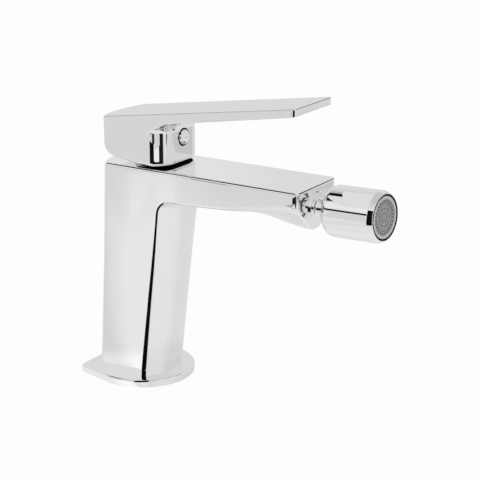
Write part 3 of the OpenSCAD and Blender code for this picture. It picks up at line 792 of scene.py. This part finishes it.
def make_plug():
    """Raised button with a round rim and a low crown, in a thin black ring in the block's front: painted
    shade that stands for a shadow gap round the button.
    """
    ring_r, proud, rim_r, round_r, crown_r, depth = 5.2, 0.15, 4.3, 1.2, 12.0, 2.6
    lean = math.asin((rim_r - round_r) / (crown_r - round_r))
    profile = [(-depth, 0.05), (-depth, ring_r), (proud, ring_r)]
    for i in range(17):
        a = lerp(math.pi / 2, lean, i / 16)
        profile.append((proud + round_r * math.cos(a), rim_r - round_r + round_r * math.sin(a)))
    crown_x = proud + (round_r - crown_r) * math.cos(lean)
    for i in range(1, 13):
        a = lerp(lean, 0.003, i / 12)
        profile.append((crown_x + crown_r * math.cos(a), crown_r * math.sin(a)))
    piece = turned("index_button", profile, along_x(BLOCK_FRONT, INDEX_Z), 96)
    coat(piece, chrome, shade_and_flag_black)
    # Painted shade: the flat ring round the rim is black, for the shadow gap round the button
    for face in piece.data.polygons:
        off_axis = Vector((face.center.y, face.center.z - INDEX_Z * MM)).length
        if face.normal.x > 0.98 and off_axis > rim_r * MM:
            face.material_index = 1
    belongs(piece, "lever", "index_plastic", "index_plug")


def make_sleeve():
    """Soft black sleeve round the spindle, between the cover ring and the lever, set in to keep the gap
    under the lever dark as painted shade.
    """
    corners = [
        (131.7, 4.6, 0, 0),
        (131.7, 5.0, 0.1, 4),
        (132.0, 5.2, 0, 0),
        (132.4, 5.4, 0, 0),
        (132.4, 4.6, 0, 0),
    ]
    profile = [tuple(p) for p in rounded_path(corners)]
    upright = Matrix.Translation((CARTRIDGE_X, 0, 0)) @ Matrix.Rotation(-math.pi / 2, 4, "Y")
    piece = turned("spindle_sleeve", profile, upright, 64)
    # Painted shade: the black sleeve darkens the gap under the lever
    coat(piece, rubber)
    belongs(piece, "lever", "rubber")


def make_housing():
    cavity_r, wall_r, bore_r, ring_r = 9.5, 14.0, 11.4, 12.35
    back, front, ring_seat = -6.0, 27.0, 20.9
    mouth = math.sqrt(cavity_r ** 2 - back ** 2)
    corners = [
        (back, mouth, 0, 0),
        (back, wall_r, 4.5, 14),
        (front - 2.8, wall_r, 0.8, 4),
        (front, wall_r - 1.3, 0.4, 4),
        (front, ring_r, 0, 0),
        (ring_seat, ring_r, 0, 0),
        (ring_seat, bore_r, 0, 0),
        (-0.3, bore_r, 0, 0),
    ]
    profile = [tuple(p) for p in rounded_path(corners)]
    start = math.acos(-0.3 / cavity_r)
    stop = math.acos(back / cavity_r)
    for i in range(13):
        a = lerp(start, stop, i / 12)
        profile.append((cavity_r * math.cos(a), cavity_r * math.sin(a)))
    piece = turned("swivel_barrel", profile[:-1], swivel_place, 160)
    coat(piece, chrome)
    belongs(piece, "outlet", "chrome", "swivel_housing")


def make_screen():
    """Fine dark screen close behind the slots of the aerator's face."""
    back, front, screen_r, pin_r = 24.8, 25.2, 8.6, 0.05
    corners = [
        (back, pin_r, 0, 0),
        (front, pin_r, 0, 0),
        (front, screen_r, 0.1, 2),
        (back, screen_r, 0.1, 2),
        (back, pin_r, 0, 0),
    ]
    profile = [tuple(p) for p in rounded_path(corners)][:-1]
    piece = turned("aerator_screen", profile, swivel_place, 64)
    coat(piece, black_plastic)
    belongs(piece, "outlet", "black_plastic")


make_body()
make_lever()
make_flange()
make_stem()
make_housing()
make_plug()
make_sleeve()
make_screen()


# Studio: floor, surroundings, cards and camera


def step_up(value, low, high):
    """0 below low, 1 above high, smooth between."""
    settings = {"interpolation_type": "SMOOTHSTEP"}
    return value.node("ShaderNodeMapRange", settings, Value=value, From_Min=low, From_Max=high)


def within(value, low, high, soft):
    """1 between low and high, 0 outside, with soft borders."""
    return step_up(value, low - soft, low + soft) * (1 - step_up(value, high - soft, high + soft))


def bearing(x, y):
    """Bearing in degrees, 0 along the spout and negative towards the near side."""
    turn = x.node("ShaderNodeMath", {"operation": "ARCTAN2"}, i0=y, i1=x)
    return turn * math.degrees(1)


def split(tree, vector):
    parts = tree.nodes.new("ShaderNodeSeparateXYZ")
    tree.links.new(vector.socket, parts.inputs[0])
    return [Value(tree, socket) for socket in parts.outputs]


def grey(tree, tone):
    return add_node(tree, "ShaderNodeCombineColor", i0=tone, i1=tone, i2=tone)


def make_floor():
    """Pale floor. Mirrored in the chrome it is a pale pattern with a dark lane towards the lens."""
    fresh_selection()
    bpy.ops.mesh.primitive_plane_add(size=12.0, location=(0, 0, -0.0002))
    floor = bpy.context.object
    floor.name = "studio_floor"
    material = bpy.data.materials.new("studio_floor")
    material.use_nodes = True
    tree = material.node_tree
    tree.nodes.remove(tree.nodes["Principled BSDF"])
    path = tree.nodes.new("ShaderNodeLightPath")
    seen = Value(tree, path.outputs["Is Camera Ray"])
    mirrored = Value(tree, path.outputs["Is Glossy Ray"])
    x, y, _ = split(tree, add_node(tree, "ShaderNodeTexCoord", out=3))
    reach = x.node("ShaderNodeMath", {"operation": "SQRT"}, i0=x * x + y * y)
    turn = bearing(x - 0.016, y + 0.02)
    # Pale tone by distance in metres and bearing in degrees, as the chrome mirrors it
    lane = within(turn, *LANE) * step_up(reach, 0.33, 0.36)
    close = 1 - step_up(reach, 0.25, 0.45)
    tone = 0.745 + 0.05 * (1 - step_up(reach, 0.42, 0.6))
    foot = 1 - step_up(reach, 0.045, 0.07)
    under_spout = within(reach, 0.34, 0.5, 0.04)
    # Column's side and front
    tone = tone + close * (0.11 * within(turn, -137, -105, 9) - 0.06 * (1 - step_up(turn, -152, -140)))
    tone = tone + 0.08 * within(turn, -30, 40, 15) + 0.07 * close * within(turn, -82, -42, 8)
    # Flange's side
    tone = tone + foot * (0.17 * (1 - step_up(turn, -110, -80)) - 0.06 * step_up(turn, -60, -30))
    # Spout's near side
    tone = tone + under_spout * (0.07 * within(turn, -128.5, -123, 1.5) - 0.05 * within(turn, -119, -95, 3))
    tone = tone - 0.035 * under_spout * (1 - step_up(turn, -133, -130))
    # Front of the lever's block
    far_side = step_up(turn, -10, 22) * (1 - step_up(turn, 62, 72))
    tone = tone - 0.13 * far_side * step_up(reach, 0.5, 0.56) * (1 - step_up(reach, 0.66, 0.92))
    tone = tone * (1 - DARKEST * lane)
    paper = add_node(tree, "ShaderNodeBsdfDiffuse", Color=(0.97, 0.97, 0.97, 1))
    glow = add_node(tree, "ShaderNodeEmission", Color=(1, 1, 1, 1), Strength=1.0)
    sheen = add_node(tree, "ShaderNodeEmission", Color=grey(tree, tone), Strength=1.0)
    plain = add_node(tree, "ShaderNodeMixShader", i0=0.95 * seen, i1=paper, i2=glow)
    mixed = add_node(tree, "ShaderNodeMixShader", i0=mirrored, i1=plain, i2=sheen)
    tree.links.new(mixed.socket, tree.nodes["Material Output"].inputs["Surface"])
    coat(floor, material)


def make_surround():
    """Pale walls with a dim ceiling, dark patches overhead and a dark seam at the front left.

    The lens itself sees them as plain white."""
    world = bpy.data.worlds.new("studio")
    world.use_nodes = True
    bpy.context.scene.world = world
    tree = world.node_tree
    x, y, z = split(tree, add_node(tree, "ShaderNodeTexCoord", out=0))
    turn = bearing(x, y)
    stops = [(0.0, 0.735), (0.1, 0.745), (0.18, 0.79), (0.30, 0.86),
             (0.40, 0.92), (0.55, 0.91), (0.75, 0.77), (1.0, 0.62)]
    height = add_node(tree, "ShaderNodeValToRGB", {"stops": stops}, Fac=z)
    tone = add_node(tree, "ShaderNodeRGBToBW", Color=height)
    rear = step_up(y, 0.1, 0.6) * step_up(z, 0.27, 0.38)
    tone = tone * (1 - 0.14 * rear) * (1 - 0.07 * within(turn, 100, 122, 2) * within(z, 0.2, 0.34, 0.03))
    seam = within(turn, -150, -105, 4) * within(z, 0.165, 0.272, 0.006)
    body_edge = within(x, -0.64, -0.455, 0.012) * within(y, -0.44, 0.12, 0.02)
    lever_edge = within(x, -0.75, -0.64, 0.012) * within(y, -0.44, -0.06, 0.02)
    flange_edge = within(x, 0.28, 0.6, 0.02) * within(y, -0.16, 0.26, 0.02)
    overhead = (body_edge + lever_edge + flange_edge) * step_up(z, 0.3, 0.4)
    mouth = within(turn, *LANE) * (1 - step_up(z, 0.12, 0.2))
    dark = seam
    for patch in (overhead, mouth):
        dark = add_node(tree, "ShaderNodeMath", {"operation": "MAXIMUM"}, i0=dark, i1=patch)
    tone = tone * (1 - DARKEST * dark)
    seen = add_node(tree, "ShaderNodeLightPath", out=0)
    tone = tone * (1 - seen) + seen
    shade = tree.nodes["Background"]
    tree.links.new(grey(tree, tone).socket, shade.inputs["Color"])
    shade.inputs["Strength"].default_value = 1.0


def make_card(name, corners, material):
    """A card, unseen by the lens, for the chrome to mirror."""
    fresh_selection()
    bpy.ops.mesh.primitive_plane_add(size=1.0)
    card = bpy.context.object
    card.name = name
    for point, corner in zip((0, 1, 3, 2), corners):
        card.data.vertices[point].co = Vector(corner) * MM
    card.visible_camera = False
    card.visible_diffuse = False
    card.visible_shadow = False
    coat(card, material)


def standing(foot_a, foot_b, low, high, lean=(0, 0)):
    """Corners of an upright card on the line between two feet, its top moved by the lean."""
    a_top = (foot_a[0] + lean[0], foot_a[1] + lean[1], high)
    b_top = (foot_b[0] + lean[0], foot_b[1] + lean[1], high)
    return [(*foot_a, low), (*foot_b, low), b_top, a_top]


def level(low, high, z):
    """Corners of a level card that faces down."""
    return [(low[0], low[1], z), (low[0], high[1], z), (high[0], high[1], z), (high[0], low[1], z)]


def glowing(name, strength):
    """A card's plain light of the given strength."""
    material = bpy.data.materials.new(name)
    material.use_nodes = True
    tree = material.node_tree
    tree.nodes.remove(tree.nodes["Principled BSDF"])
    glow = add_node(tree, "ShaderNodeEmission", Color=(1, 1, 1, 1), Strength=strength)
    tree.links.new(glow.socket, tree.nodes["Material Output"].inputs["Surface"])
    return material


def make_cards():
    white = glowing("white_card", 0.95)
    pale = glowing("pale_card", 0.72)
    soft = glowing("barrel_card", 0.82)
    black = shade_and_flag_black
    # The column's front edge
    make_card("flag_column", standing((11.9, -28.0), (20.6, -24.5), 3.0, 104.0, (12.0, -0.7)), black)
    # The top edge of the spout's end
    make_card("flag_behind", standing((152, 200), (240, 200), 205, 345), black)
    # The barrel's upper side
    make_card("card_barrel", level((111, -40), (150, -12), 150), soft)
    make_card("card_barrel_top", level((122, -12), (150, 4), 150), soft)
    # The near corner of the lever's block
    make_card("flag_block", [(8, -84, 117), (66, -84, 113), (66, -84, 126.9), (8, -84, 130.6)], black)
    make_card("card_block", [(36.5, -80, 119), (78, -80, 114), (78, -80, 125.5), (36.5, -80, 129.6)], white)
    make_card("card_cap", standing((30, -42), (50, -42), 135.6, 146), pale)
    # The barrel's front bevel
    make_card("flag_bevel", standing((157, -37), (179, -27), 110, 142), black)


def make_camera():
    flat = math.cos(CAMERA_PITCH)
    back = Vector((math.sin(CAMERA_YAW) * flat, -math.cos(CAMERA_YAW) * flat, math.sin(CAMERA_PITCH)))
    camera = bpy.data.objects.new("camera", bpy.data.cameras.new("camera"))
    bpy.context.scene.collection.objects.link(camera)
    camera.data.sensor_width = CAMERA_SENSOR
    camera.data.lens = CAMERA_LENS
    camera.location = CAMERA_PLACE * MM
    camera.rotation_euler = (-back).to_track_quat("-Z", "Y").to_euler()
    camera.data.clip_start = 0.05
    camera.data.clip_end = 50.0
    bpy.context.scene.camera = camera


make_floor()
make_surround()
make_cards()
make_camera()

bpy.context.scene.view_settings.view_transform = "Standard"
